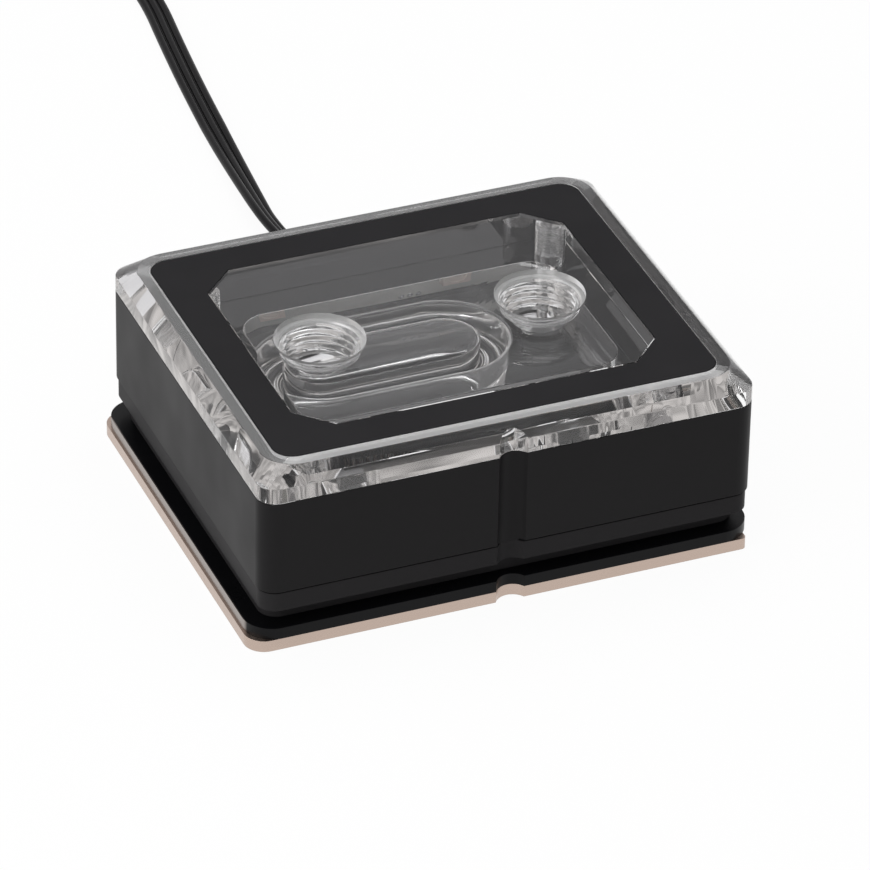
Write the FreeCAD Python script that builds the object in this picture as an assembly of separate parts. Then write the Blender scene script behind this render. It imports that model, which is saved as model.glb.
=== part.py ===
import FreeCAD, Part
import math
import os

# Liquid cooling cold plate with a clear top, millimetres.
# The origin is on the contact face, below the housing's middle. +X runs along it from the
# inlet port to the outlet port, +Y points to the side where the lead leaves, +Z is up.

# Overall body
body_length = 84.0
body_width = 70.2
body_corner = 3.2

# Layers from the bottom up
slab_thickness = 2.0
flange_thickness = 2.0
neck_height = 3.1
band_height = 3.3
seam_height = 0.4
register_height = 1.2
housing_height = 16.95
clear_rim_height = 5.25

# How far the layers stand out or are set in; the slab and the flange sit towards the left
slab_overhang_left = 1.87
slab_set_in_right = 0.8
slab_corner_left = 3.4
slab_corner_right = 0.8
flange_overhang_left = 1.56
flange_overhang_right = 0.5
flange_corner = 5.0
neck_inset_x = 1.44
neck_inset_y = 3.0
band_inset = 0.3
seam_depth = 1.0

# Half-round notch in the middle of the front
notch_radius = 2.76
notch_depth = 1.4

# Clear block
rim_bevel_in = 2.2
rim_bevel_drop = 2.5
rim_top_corner = 5.6
housing_wall_x = 6.9
housing_wall_y = 6.1
core_corner = 3.0
core_fit = 0.1
ceiling_depth = 10.4
chamber_inset_x = 7.7
chamber_inset_y = 12.3
chamber_corner = 5.0

# Ports, G 1/4
port_inset = 8.4
port_recess_radius = 7.45
port_recess_depth = 1.0
port_thread_radius = 6.58
port_thread_depth = 5.0
port_bore_radius = 4.65

# Stadium wall and inlet slot
inlet_wall_radius = 10.3
inlet_slot_radius = 5.2
inlet_slot_port_gap = 16.6

# Trim frame in the top of the clear block
trim_inset_x = 4.4
trim_inset_y = 4.35
trim_corner = 3.4
trim_thickness = 1.2
trim_edge_break = 0.15
trim_fit = 0.06
tape_thickness = 0.15
tape_margin = 0.8
trim_band_x = 6.575
trim_band_y = 6.525
window_corner_cut = 5.5

# Cold plate block and fins
block_gap = 0.5
block_corner = 4.5
fin_pitch = 1.2
fin_gap = 0.6
fin_height = 2.5
fin_end_margin = 3.2
fin_margin = 2.6

# Jet plate
jet_thickness = 1.0
jet_gap = 0.2
jet_slit_width = 1.2
jet_slit_length = 20.0
outlet_slot_width = 2.6
outlet_slot_end = 5.2
outlet_slot_edge = 2.8

# Seals
base_seal_width = 2.0
seal_gap = 0.2
outer_seal_width = 1.6
outer_seal_height = 1.0
outer_seal_margin = 1.4
inlet_seal_width = 1.4
inlet_seal_height = 0.8
seal_rounding = 0.3

# Screws from below into the clear block, M5
block_screw_radius = 2.45
block_screw_head_radius = 4.25
block_screw_reach = 5.0
block_screw_inset_x = 4.8
block_screw_inset_y = 6.7
block_hole_clearance = 0.25
tapped_radius = 2.5
tapped_roof = 2.3

# Screws from below into the housing, M3
housing_screw_radius = 1.45
housing_screw_head_radius = 2.9
housing_screw_tip_gap = 1.0
housing_screw_inset_y = 11.1
housing_hole_clearance = 0.15
hex_socket_share = 0.55
hex_socket_depth = 1.2
insert_radius = 1.9
insert_bore_radius = 1.5
insert_length = 5.0

# Light strip on the housing's back wall
strip_end_gap = 1.8
strip_height = 10.0
strip_thickness = 0.4
strip_tape_thickness = 0.2
strip_middle_x = -1.95
strip_middle_z = 18.7
strip_gap = 0.5
chip_size = 5.0
chip_depth = 1.6
chip_pitch = 33.3
chip_count = 2
capacitor_length = 2.0
capacitor_height = 1.25
capacitor_depth = 0.8
capacitor_offset = 5.2
solder_radius = 0.55
solder_height = 0.5

# Flat three-wire lead
lead_width = 4.6
lead_thickness = 1.5
wire_pitch = 1.55
lead_x = 7.0
lead_z = 14.5
grommet_wall = 1.2
grommet_collar = 1.0
grommet_collar_depth = 1.5
lead_route = [
    (lead_x, 46.1, lead_z),
    (lead_x, 60.0, lead_thickness / 2),
    (lead_x, 72.7, lead_thickness / 2),
    (3.9, 82.5, lead_thickness / 2),
    (4.4, 94.0, lead_thickness / 2),
    (6.0, 112.0, lead_thickness / 2),
    (8.1, 133.0, lead_thickness / 2),
    (10.1, 150.0, lead_thickness / 2),
    (11.9, 163.5, lead_thickness / 2),
    (11.9, 176.0, lead_thickness / 2),
]
arc_share = 0.45

# Coil of the rest of the lead, and what is on its end
coil_turns = 2.25
coil_pitch = 4.7
coil_outer_radius = 29.3
coil_height = 2.0
coil_run_in = 17.0
coil_tail_radius = 9.4
tie_width = 3.0
tie_thickness = 0.45
sleeve_length = 5.0
sleeve_width = 6.0
sleeve_height = 2.4
plug_length = 10.0
plug_width = 9.6
plug_height = 2.8
contact_pitch = 2.54
contact_length = 6.0
contact_size = 0.9
contact_wall = 0.2

# Heights of the layers' faces
flange_z = slab_thickness
neck_z = flange_z + flange_thickness
band_z = neck_z + neck_height
housing_z = band_z + band_height
core_z = housing_z + register_height
rim_z = housing_z + housing_height
top_z = rim_z + clear_rim_height
ceiling_z = top_z - ceiling_depth
recess_z = top_z - trim_thickness - tape_thickness

# Lengths and widths that follow from the body's
core_length = body_length - 2 * housing_wall_x
core_width = body_width - 2 * housing_wall_y
chamber_length = core_length - 2 * chamber_inset_x
chamber_width = core_width - 2 * chamber_inset_y
trim_length = body_length - 2 * trim_inset_x
trim_width = body_width - 2 * trim_inset_y
window_length = trim_length - 2 * trim_band_x
window_width = trim_width - 2 * trim_band_y
neck_length = body_length - 2 * neck_inset_x
neck_width = body_width - 2 * neck_inset_y
strip_length = core_length - 2 * strip_end_gap

# Places shared by several pieces
slab_x = (-body_length / 2 - slab_overhang_left, body_length / 2 - slab_set_in_right)
flange_x = (-body_length / 2 - flange_overhang_left, body_length / 2 + flange_overhang_right)
port_x = chamber_length / 2 - port_inset
slot_start_x = -port_x
slot_end_x = port_x - inlet_slot_port_gap
block_screw_x = core_length / 2 - block_screw_inset_x
block_screw_y = core_width / 2 - block_screw_inset_y
block_screw_tip_z = core_z + block_screw_reach
tapped_top_z = recess_z - tapped_roof
housing_screw_x = (core_length / 2 + core_fit + neck_length / 2) / 2
housing_screw_y = body_width / 2 - housing_screw_inset_y
housing_screw_tip_z = housing_z + insert_length - housing_screw_tip_gap
block_length = chamber_length - 2 * block_gap
block_width = chamber_width - 2 * block_gap
fin_count = round((block_length - 2 * fin_end_margin + fin_pitch - fin_gap) / fin_pitch)
jet_z = core_z - jet_thickness
strip_back_y = core_width / 2 + core_fit + chip_depth + strip_thickness + strip_tape_thickness
back_y = body_width / 2
coil_middle_x = lead_route[-1][0] + coil_outer_radius
coil_middle_y = lead_route[-1][1] + coil_run_in
coil_inner_radius = coil_outer_radius - coil_turns * coil_pitch


def plate_wire(x0, x1, width, left_radius, right_radius, z):
    """Closed outline of a rectangle with its own corner radius at each end."""
    y, a, b = width / 2, left_radius, right_radius
    corners = [(x1 - b, y - b, b), (x0 + a, y - a, a), (x0 + a, a - y, a), (x1 - b, b - y, b)]
    up = FreeCAD.Vector(0, 0, 1)
    arcs = []
    for index, (cx, cy, radius) in enumerate(corners):
        start = 90 * index
        arcs.append(Part.makeCircle(radius, FreeCAD.Vector(cx, cy, z), up, start, start + 90))
    edges = []
    for index, arc in enumerate(arcs):
        after = arcs[(index + 1) % 4]
        side = Part.LineSegment(arc.Vertexes[-1].Point, after.Vertexes[0].Point)
        edges += [arc, side.toShape()]
    return Part.Wire(edges)


def rounded_wire(length, width, radius, z):
    """Closed outline of a rounded rectangle about the Z axis."""
    return plate_wire(-length / 2, length / 2, width, radius, radius, z)


def raised(wire, z0, z1):
    """Solid between two heights over a closed outline drawn at the lower one."""
    return Part.Face(wire).extrude(FreeCAD.Vector(0, 0, z1 - z0))


def rounded_block(length, width, radius, z0, z1):
    return raised(rounded_wire(length, width, radius, z0), z0, z1)


def polygon_block(points, z0, z1):
    corners = [FreeCAD.Vector(x, y, z0) for x, y in points]
    return raised(Part.makePolygon(corners + corners[:1]), z0, z1)


def window_block(gap, z0, z1):
    """Eight-sided prism of the window, grown outwards by a gap."""
    x, y = window_length / 2 + gap, window_width / 2 + gap
    cut = window_corner_cut + gap * (2 - math.sqrt(2))
    half = [(x, -y + cut), (x, y - cut), (x - cut, y), (-x + cut, y)]
    return polygon_block(half + [(-px, -py) for px, py in half], z0, z1)


def box_between(low, high):
    size = [b - a for a, b in zip(low, high)]
    return Part.makeBox(*size, FreeCAD.Vector(*low))


def rod(radius, z0, z1, x=0.0, y=0.0):
    return Part.makeCylinder(radius, z1 - z0, FreeCAD.Vector(x, y, z0))


def stadium_block(x0, x1, radius, z0, z1):
    middle = box_between((x0, -radius, z0), (x1, radius, z1))
    return middle.fuse([rod(radius, z0, z1, x0), rod(radius, z0, z1, x1)]).removeSplitter()


def front_notch(z0, z1):
    """Upright cylinder that cuts the half-round notch."""
    return rod(notch_radius, z0, z1, 0, notch_depth - notch_radius - body_width / 2)


def countersunk_hole(screw_radius, head_radius, clearance, x, y, z1):
    """Hole for a screw whose head sits flush with the underside."""
    depth = head_radius - screw_radius
    cone = Part.makeCone(head_radius, screw_radius, depth, FreeCAD.Vector(x, y, 0))
    return cone.fuse(rod(screw_radius + clearance, 0, z1, x, y))


def countersunk_screw(screw_radius, head_radius, x, y, tip_z):
    """Screw with a flush cone head, a six-sided socket and a bevelled tip."""
    depth = head_radius - screw_radius
    bevel = screw_radius * 0.3
    head = Part.makeCone(head_radius, screw_radius, depth, FreeCAD.Vector(x, y, 0))
    shank = rod(screw_radius, depth, tip_z - bevel, x, y)
    place = FreeCAD.Vector(x, y, tip_z - bevel)
    tip = Part.makeCone(screw_radius, screw_radius - bevel, bevel, place)
    radius = screw_radius * hex_socket_share * 2 / math.sqrt(3)
    angles = [math.radians(60 * i) for i in range(6)]
    socket = polygon_block(
        [(x + radius * math.cos(a), y + radius * math.sin(a)) for a in angles], 0, hex_socket_depth
    )
    return head.fuse([shank, tip]).removeSplitter().cut(socket)


def four_places(x, y):
    return [(sx * x, sy * y) for sx in (-1, 1) for sy in (-1, 1)]


def block_screw_places():
    return four_places(block_screw_x, block_screw_y)


def housing_screw_places():
    y = housing_screw_y
    return [(sx * housing_screw_x, py) for sx in (-1, 1) for py in (-y, 0, y)]


def screw_holes(z1):
    """Clearance holes of all the screws, from the underside up to a height."""
    holes = []
    for x, y in block_screw_places():
        holes.append(
            countersunk_hole(
                block_screw_radius, block_screw_head_radius, block_hole_clearance, x, y, z1
            )
        )
    for x, y in housing_screw_places():
        holes.append(
            countersunk_hole(
                housing_screw_radius, housing_screw_head_radius, housing_hole_clearance, x, y, z1
            )
        )
    return holes


def cold_plate():
    """Base slab with a raised block whose top is cut into thin upright fins."""
    outline = plate_wire(*slab_x, body_width, slab_corner_left, slab_corner_right, 0)
    slab = raised(outline, 0, slab_thickness)
    block = rounded_block(block_length, block_width, block_corner, 0, jet_z)
    plate = slab.fuse(block).removeSplitter()
    reach = block_width / 2 - fin_margin
    gaps = []
    for index in range(fin_count):
        x = (index - (fin_count - 1) / 2) * fin_pitch
        gaps.append(
            box_between(
                (x - fin_gap / 2, -reach, jet_z - fin_height), (x + fin_gap / 2, reach, jet_z)
            )
        )
    return plate.cut(gaps + [front_notch(0, slab_thickness)] + screw_holes(slab_thickness))


def flange_plate():
    """Thin plate around the cold plate's block, held between the slab and the lower frame."""
    outline = plate_wire(*flange_x, body_width, flange_corner, flange_corner, flange_z)
    plate = raised(outline, flange_z, neck_z)
    grow = 2 * (base_seal_width + 2 * seal_gap)
    window = rounded_block(
        block_length + grow, block_width + grow, block_corner + grow / 2, flange_z, neck_z
    )
    return plate.cut([window, front_notch(flange_z, neck_z)] + screw_holes(neck_z))


def lower_frame():
    """Neck that leaves the bracket groove, the band above it and the register in the housing."""
    neck = rounded_block(neck_length, neck_width, body_corner, neck_z, band_z)
    band = rounded_block(
        body_length - 2 * band_inset,
        body_width - 2 * band_inset,
        body_corner - band_inset,
        band_z,
        housing_z,
    )
    register = rounded_block(core_length, core_width, core_corner, housing_z, core_z)
    window = rounded_block(chamber_length, chamber_width, chamber_corner, neck_z, core_z)
    frame = neck.fuse([band, register]).removeSplitter()
    return frame.cut([window, front_notch(band_z, housing_z)] + screw_holes(core_z))


def lead_opening_block(grow, y0, y1):
    """Flat-sided tube around the lead, with round ends, from one Y to another."""
    half = (lead_width - lead_thickness) / 2
    radius = lead_thickness / 2 + grow
    middle = box_between(
        (lead_x - half, y0, lead_z - radius), (lead_x + half, y1, lead_z + radius)
    )
    along = FreeCAD.Vector(0, 1, 0)
    ends = []
    for side in (-1, 1):
        place = FreeCAD.Vector(lead_x + side * half, y0, lead_z)
        ends.append(Part.makeCylinder(radius, y1 - y0, place, along))
    return middle.fuse(ends).removeSplitter()


def strip_channel():
    """Room for the light strip in the housing's back wall."""
    half_x = strip_length / 2 + strip_gap
    half_z = strip_height / 2 + strip_gap
    return box_between(
        (strip_middle_x - half_x, core_width / 2, strip_middle_z - half_z),
        (strip_middle_x + half_x, strip_back_y, strip_middle_z + half_z),
    )


def housing():
    """Shell around the clear block, with a shadow line at its foot."""
    shell = rounded_block(body_length, body_width, body_corner, housing_z, rim_z)
    seam_z = housing_z + seam_height
    seam = rounded_block(body_length, body_width, body_corner, housing_z, seam_z).cut(
        rounded_block(
            body_length - 2 * seam_depth,
            body_width - 2 * seam_depth,
            body_corner - seam_depth,
            housing_z,
            seam_z,
        )
    )
    inside = rounded_block(
        core_length + 2 * core_fit, core_width + 2 * core_fit, core_corner, housing_z, rim_z
    )
    pockets = [
        rod(insert_radius, housing_z, housing_z + insert_length, x, y)
        for x, y in housing_screw_places()
    ]
    cable_hole = lead_opening_block(grommet_wall, core_width / 2, back_y)
    notch = front_notch(housing_z, rim_z)
    return shell.cut([seam, inside, strip_channel(), cable_hole, notch] + pockets)


def bevelled_rim():
    """The part of the clear block above the housing, with its sloping top edge."""
    knee_z = top_z - rim_bevel_drop
    wall = rounded_block(body_length, body_width, body_corner, rim_z, knee_z)
    low = rounded_wire(body_length, body_width, body_corner, knee_z)
    high = rounded_wire(
        body_length - 2 * rim_bevel_in,
        body_width - 2 * rim_bevel_in,
        rim_top_corner,
        top_z,
    )
    return wall.fuse(Part.makeLoft([low, high], True, True)).removeSplitter()


def seal_ring(length, width, radius, ring_width, z0, z1):
    """Flat-sided ring on a rounded rectangle, given by its middle line."""
    outer = rounded_block(length + ring_width, width + ring_width, radius + ring_width / 2, z0, z1)
    inner = rounded_block(length - ring_width, width - ring_width, radius - ring_width / 2, z0, z1)
    return outer.cut(inner)


def outer_seal_ring():
    grow = 2 * outer_seal_margin + outer_seal_width
    return seal_ring(
        chamber_length + grow,
        chamber_width + grow,
        chamber_corner + grow / 2,
        outer_seal_width,
        core_z,
        core_z + outer_seal_height,
    )


def inlet_seal_ring():
    middle = (inlet_wall_radius + inlet_slot_radius) / 2
    half = inlet_seal_width / 2
    z1 = core_z + inlet_seal_height
    outer = stadium_block(slot_start_x, slot_end_x, middle + half, core_z, z1)
    return outer.cut(stadium_block(slot_start_x, slot_end_x, middle - half, core_z, z1))


def port_cut(x):
    """Sealing recess, threaded part and lower bore of one port."""
    recess = rod(port_recess_radius, top_z - port_recess_depth, top_z, x)
    thread_floor = top_z - port_recess_depth - port_thread_depth
    thread = rod(port_thread_radius, thread_floor, top_z, x)
    bore = rod(port_bore_radius, ceiling_z, top_z, x)
    return recess.fuse([thread, bore])


def acrylic_block():
    """Clear block: rim, core, ports, outlet chamber around the stadium wall, and inlet slot."""
    core = rounded_block(core_length, core_width, core_corner, core_z, rim_z)
    block = bevelled_rim().fuse(core).removeSplitter()
    recess = rounded_block(
        trim_length + 2 * trim_fit, trim_width + 2 * trim_fit, trim_corner + trim_fit, recess_z, top_z
    ).cut(window_block(-trim_fit, recess_z, top_z))
    chamber = rounded_block(chamber_length, chamber_width, chamber_corner, core_z, ceiling_z).cut(
        stadium_block(slot_start_x, slot_end_x, inlet_wall_radius, core_z, ceiling_z)
    )
    slot = stadium_block(slot_start_x, slot_end_x, inlet_slot_radius, core_z, ceiling_z)
    tapped = [rod(tapped_radius, core_z, tapped_top_z, x, y) for x, y in block_screw_places()]
    cuts = [recess, chamber, slot, port_cut(-port_x), port_cut(port_x)]
    cuts += tapped + [front_notch(rim_z, top_z), outer_seal_ring(), inlet_seal_ring()]
    return block.cut(cuts)


def trim_frame():
    """Inlaid frame with rounded outer corners and an eight-sided window."""
    plate = rounded_block(trim_length, trim_width, trim_corner, top_z - trim_thickness, top_z)
    frame = plate.cut(window_block(0, top_z - trim_thickness, top_z))
    edges = [e for e in frame.Edges if e.BoundBox.ZMin > top_z - trim_edge_break]
    return frame.makeChamfer(trim_edge_break, edges)


def trim_tape():
    length, width = trim_length - 2 * tape_margin, trim_width - 2 * tape_margin
    z1 = recess_z + tape_thickness
    sheet = rounded_block(length, width, trim_corner, recess_z, z1)
    return sheet.cut(window_block(tape_margin, recess_z, z1))


def jet_plate():
    """Plate over the fins, with the slit that feeds them and the two outlet slots."""
    length, width = chamber_length - 2 * jet_gap, chamber_width - 2 * jet_gap
    plate = rounded_block(length, width, chamber_corner - jet_gap, jet_z, core_z)
    middle = (slot_start_x + slot_end_x) / 2
    half = jet_slit_length / 2
    slit = box_between(
        (middle - half, -jet_slit_width / 2, jet_z), (middle + half, jet_slit_width / 2, core_z)
    )
    x = length / 2 - outlet_slot_end
    y = width / 2 - outlet_slot_edge - outlet_slot_width / 2
    outlets = []
    for side in (-1, 1):
        low = (-x, side * y - outlet_slot_width / 2, jet_z)
        high = (x, side * y + outlet_slot_width / 2, core_z)
        outlets.append(box_between(low, high))
    return plate.cut([slit] + outlets)


def outer_seal():
    return outer_seal_ring()


def inlet_seal():
    return inlet_seal_ring()


def base_seal():
    """Ring between the slab and the lower frame, around the cold plate's block."""
    grow = base_seal_width + 2 * seal_gap
    ring = seal_ring(
        block_length + grow,
        block_width + grow,
        block_corner + grow / 2,
        base_seal_width,
        flange_z,
        neck_z,
    )
    level = [e for e in ring.Edges if e.BoundBox.ZLength < flange_thickness / 2]
    return ring.makeFillet(seal_rounding, level)


def block_screws():
    return [
        countersunk_screw(block_screw_radius, block_screw_head_radius, x, y, block_screw_tip_z)
        for x, y in block_screw_places()
    ]


def housing_screws():
    return [
        countersunk_screw(
            housing_screw_radius, housing_screw_head_radius, x, y, housing_screw_tip_z
        )
        for x, y in housing_screw_places()
    ]


def threaded_inserts():
    z1 = housing_z + insert_length
    return [
        rod(insert_radius, housing_z, z1, x, y).cut(rod(insert_bore_radius, housing_z, z1, x, y))
        for x, y in housing_screw_places()
    ]


def strip_sheet(y0, y1):
    """A layer of the light strip between two distances from the front."""
    return box_between(
        (strip_middle_x - strip_length / 2, y0, strip_middle_z - strip_height / 2),
        (strip_middle_x + strip_length / 2, y1, strip_middle_z + strip_height / 2),
    )


def led_tape():
    y0 = strip_back_y - strip_tape_thickness
    return strip_sheet(y0, strip_back_y).cut(lead_opening_block(0, y0, strip_back_y))


def led_board():
    y1 = strip_back_y - strip_tape_thickness
    return strip_sheet(y1 - strip_thickness, y1)


def chip_places():
    first = strip_middle_x - (chip_count - 1) * chip_pitch / 2
    return [first + index * chip_pitch for index in range(chip_count)]


def led_chips():
    """Square chips with a shallow round well in the face that looks into the clear block."""
    y0 = core_width / 2 + core_fit
    chips = []
    for x in chip_places():
        half = chip_size / 2
        low = (x - half, y0, strip_middle_z - half)
        chip = box_between(low, (x + half, y0 + chip_depth, strip_middle_z + half))
        well = Part.makeCylinder(
            half * 0.8, chip_depth * 0.2, FreeCAD.Vector(x, y0, strip_middle_z), FreeCAD.Vector(0, 1, 0)
        )
        chips.append(chip.cut(well))
    return chips


def led_capacitors():
    y1 = core_width / 2 + core_fit + chip_depth
    parts = []
    for x in chip_places():
        middle = x + capacitor_offset
        low = (middle - capacitor_length / 2, y1 - capacitor_depth, strip_middle_z)
        high = (middle + capacitor_length / 2, y1, strip_middle_z + capacitor_height)
        parts.append(box_between(low, high))
    return parts


def solder_joints():
    """Domes where the three wires come through the strip."""
    y1 = core_width / 2 + core_fit + chip_depth
    joints = []
    for index in (-1, 0, 1):
        place = FreeCAD.Vector(lead_x + index * wire_pitch, y1, lead_z)
        joints.append(
            Part.makeCone(
                solder_radius, solder_radius * 0.4, solder_height, place, FreeCAD.Vector(0, -1, 0)
            )
        )
    return joints


def cable_grommet():
    """Rubber bush in the housing's back wall, with a collar outside."""
    body = lead_opening_block(grommet_wall, strip_back_y, back_y)
    collar = lead_opening_block(
        grommet_wall + grommet_collar, back_y, back_y + grommet_collar_depth
    )
    opening = lead_opening_block(0, strip_back_y, back_y + grommet_collar_depth)
    return body.fuse(collar).removeSplitter().cut(opening)


def lead_face(point, along):
    """Round-ended cross-section of the flat lead; its width stays level."""
    across = FreeCAD.Vector(along.y, -along.x, 0).normalize()
    up = across.cross(along)
    half = across * ((lead_width - lead_thickness) / 2)
    radius = lead_thickness / 2
    lift = up * radius
    corner = [point + half + lift, point - half + lift, point - half - lift, point + half - lift]
    edges = [
        Part.LineSegment(corner[0], corner[1]).toShape(),
        Part.Arc(corner[1], point - half - across * radius, corner[2]).toShape(),
        Part.LineSegment(corner[2], corner[3]).toShape(),
        Part.Arc(corner[3], point + half + across * radius, corner[0]).toShape(),
    ]
    return Part.Face(Part.Wire(edges))


def led_cable():
    """Flat lead along straight runs joined by tangent arcs, up to the coil."""
    start = FreeCAD.Vector(lead_x, strip_back_y - strip_tape_thickness, lead_z)
    points = [start] + [FreeCAD.Vector(*p) for p in lead_route]
    spans = []
    here = start
    length = 0.0
    for before, corner, after in zip(points, points[1:], points[2:]):
        into, out = corner - before, after - corner
        turn = into.getAngle(out)
        radius = arc_share * min(into.Length, out.Length) / math.tan(turn / 2)
        reach = radius * math.tan(turn / 2)
        into.normalize()
        out.normalize()
        bend_start = corner - into * reach
        spans.append(lead_face(here, into).extrude(bend_start - here))
        axis = into.cross(out).normalize()
        centre = bend_start + axis.cross(into) * radius
        spans.append(
            lead_face(bend_start, into).revolve(centre, axis, math.degrees(turn))
        )
        length += (bend_start - here).Length + radius * turn
        here = corner + out * reach
        print("bend radius", round(radius, 1))
    last = points[-1] - here
    spans.append(lead_face(here, FreeCAD.Vector(last).normalize()).extrude(last))
    length += last.Length
    tube = spans[0].fuse(spans[1:]).removeSplitter()
    section = (lead_width - lead_thickness) * lead_thickness + math.pi * lead_thickness**2 / 4
    print("lead length", round(length, 1), "volume share", round(tube.Volume / section / length, 4))
    return tube


def coil_tie():
    """Tie around the coil's turns, on the side away from the incoming lead."""
    inner = coil_inner_radius - lead_width / 2
    outer = coil_outer_radius + lead_width / 2
    y0, y1 = coil_middle_y - tie_width / 2, coil_middle_y + tie_width / 2
    loop = box_between(
        (coil_middle_x + inner - 2 * tie_thickness, y0, 0),
        (coil_middle_x + outer + tie_thickness, y1, coil_height + tie_thickness),
    )
    room = box_between(
        (coil_middle_x + inner - tie_thickness, y0, tie_thickness),
        (coil_middle_x + outer, y1, coil_height),
    )
    return loop.cut(room)


def cable_coil():
    """Outer shape of the coiled lead, with the end that turns back to its middle."""
    middle = FreeCAD.Vector(coil_middle_x, coil_middle_y, 0)
    ring = Part.makeCylinder(coil_outer_radius + lead_width / 2, coil_height, middle)
    ring = ring.cut(Part.makeCylinder(coil_inner_radius - lead_width / 2, coil_height, middle))
    place = FreeCAD.Vector(coil_middle_x, coil_middle_y + coil_inner_radius - coil_tail_radius, 0)
    tail = Part.makeCylinder(coil_tail_radius + lead_width / 2, lead_thickness, place)
    tail = tail.cut(Part.makeCylinder(coil_tail_radius - lead_width / 2, lead_thickness, place))
    reach = coil_outer_radius
    side = box_between((coil_middle_x - reach, 0, 0), (coil_middle_x, 2 * coil_middle_y, coil_height))
    x, y = lead_route[-1][0], lead_route[-1][1]
    run_in = box_between((x - lead_width / 2, y, 0), (x + lead_width / 2, coil_middle_y, lead_thickness))
    return ring.fuse([tail.cut(side), run_in]).removeSplitter().cut(coil_tie())


def tail_end():
    """Where the lead ends: x and y of its middle line's last point."""
    return coil_middle_x, coil_middle_y + coil_inner_radius - 2 * coil_tail_radius


def end_block(x0, x1, width, height):
    """Block on the surface, centred on the lead's end, between two distances along it."""
    x, y = tail_end()
    return box_between((x - x1, y - width / 2, 0), (x - x0, y + width / 2, height))


def heat_shrink():
    return end_block(0, sleeve_length, sleeve_width, sleeve_height)


def contact_blocks(grow):
    """Room or metal of the three contacts in the connector's mouth."""
    x, y = tail_end()
    x1 = x - sleeve_length - plug_length
    half = contact_size / 2 + grow
    blocks = []
    for index in (-1, 0, 1):
        middle = y + index * contact_pitch
        low = (x1, middle - half, plug_height / 2 - half)
        high = (x1 + contact_length, middle + half, plug_height / 2 + half)
        blocks.append(box_between(low, high))
    return blocks


def connector_body():
    """Three-way connector with square openings in its end."""
    shell = end_block(sleeve_length, sleeve_length + plug_length, plug_width, plug_height)
    return shell.cut(contact_blocks(contact_wall))


def connector_contacts():
    """Square tubes, each standing on the floor of its opening."""
    contacts = []
    for block in contact_blocks(contact_wall):
        bounds = block.BoundBox
        inset = contact_size * 0.25 + contact_wall
        low = (bounds.XMin, bounds.YMin + inset, bounds.ZMin + inset)
        high = (bounds.XMax - contact_wall, bounds.YMax - inset, bounds.ZMax - inset)
        skin = box_between(
            (bounds.XMin + contact_size, bounds.YMin, bounds.ZMin),
            (bounds.XMax, bounds.YMax, bounds.ZMax),
        )
        contacts.append(skin.cut(box_between(low, high)))
    return contacts


pieces = [
    cold_plate,
    flange_plate,
    lower_frame,
    housing,
    acrylic_block,
    trim_frame,
    trim_tape,
    jet_plate,
    outer_seal,
    base_seal,
    inlet_seal,
    block_screws,
    housing_screws,
    threaded_inserts,
    led_board,
    led_chips,
    led_capacitors,
    solder_joints,
    led_tape,
    cable_grommet,
    led_cable,
    cable_coil,
    coil_tie,
    heat_shrink,
    connector_body,
    connector_contacts,
]

os.makedirs("parts", exist_ok=True)
for piece in pieces:
    made = piece()
    solids = made if isinstance(made, list) else made.Solids
    shape = solids[0] if len(solids) == 1 else Part.makeCompound(solids)
    shape.exportStep("parts/" + piece.__name__ + ".step")
    print(piece.__name__, len(shape.Solids), round(shape.Volume, 1), shape.isValid())
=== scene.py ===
"""Looks of a liquid cooling cold plate: clear block, lead, finishes, camera and lights.

The frame is the CAD part's: the origin is on the contact face below the housing's middle, +X runs
from the inlet port to the outlet port, +Y points to the side where the lead leaves, +Z is up.
Sizes are metres.
"""

import math

import bpy
import numpy as np
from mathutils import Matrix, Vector


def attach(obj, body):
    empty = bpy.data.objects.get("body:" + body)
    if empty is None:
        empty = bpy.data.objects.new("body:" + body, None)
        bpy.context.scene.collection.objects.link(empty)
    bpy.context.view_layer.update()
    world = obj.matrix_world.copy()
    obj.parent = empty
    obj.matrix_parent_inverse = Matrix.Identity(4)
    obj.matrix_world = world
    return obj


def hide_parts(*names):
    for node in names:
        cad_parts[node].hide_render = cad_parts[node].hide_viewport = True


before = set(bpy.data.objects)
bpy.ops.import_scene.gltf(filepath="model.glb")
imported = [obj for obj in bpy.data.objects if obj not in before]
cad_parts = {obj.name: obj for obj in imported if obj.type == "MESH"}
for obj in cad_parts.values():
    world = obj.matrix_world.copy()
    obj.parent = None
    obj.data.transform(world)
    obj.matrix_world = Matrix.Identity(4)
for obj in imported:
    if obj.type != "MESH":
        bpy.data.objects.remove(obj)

bl_info = {
    "name": "Cold plate looks",
    "version": (1, 0, 0),
    "blender": (4, 5, 0),
    "location": "3D View > Sidebar > Cold plate",
    "description": "Clear block, lead, finishes and stage of a liquid cooling cold plate",
    "category": "Object",
}

MM = 0.001

# Heights: foot of the clear block, ceiling of its chamber, underside and top of its rim
CORE_Z = 11.6 * MM
CEILING_Z = 22.2 * MM
RIM_Z = 27.35 * MM
TOP_Z = 32.6 * MM

# Clear block, seen from above
BACK_Y = 35.1 * MM
BODY_LENGTH, BODY_WIDTH = 84 * MM, 2 * BACK_Y
CORE_LENGTH, CORE_WIDTH = 70.2 * MM, 58 * MM
CHAMBER_LENGTH, CHAMBER_WIDTH, CHAMBER_CORNER = 54.8 * MM, 33.4 * MM, 5 * MM
WINDOW_LENGTH, WINDOW_WIDTH, WINDOW_CUT = 62.05 * MM, 48.45 * MM, 5.5 * MM
PORT_X = 19 * MM
NOTCH_RADIUS, NOTCH_DEPTH = 2.76 * MM, 1.4 * MM

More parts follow.
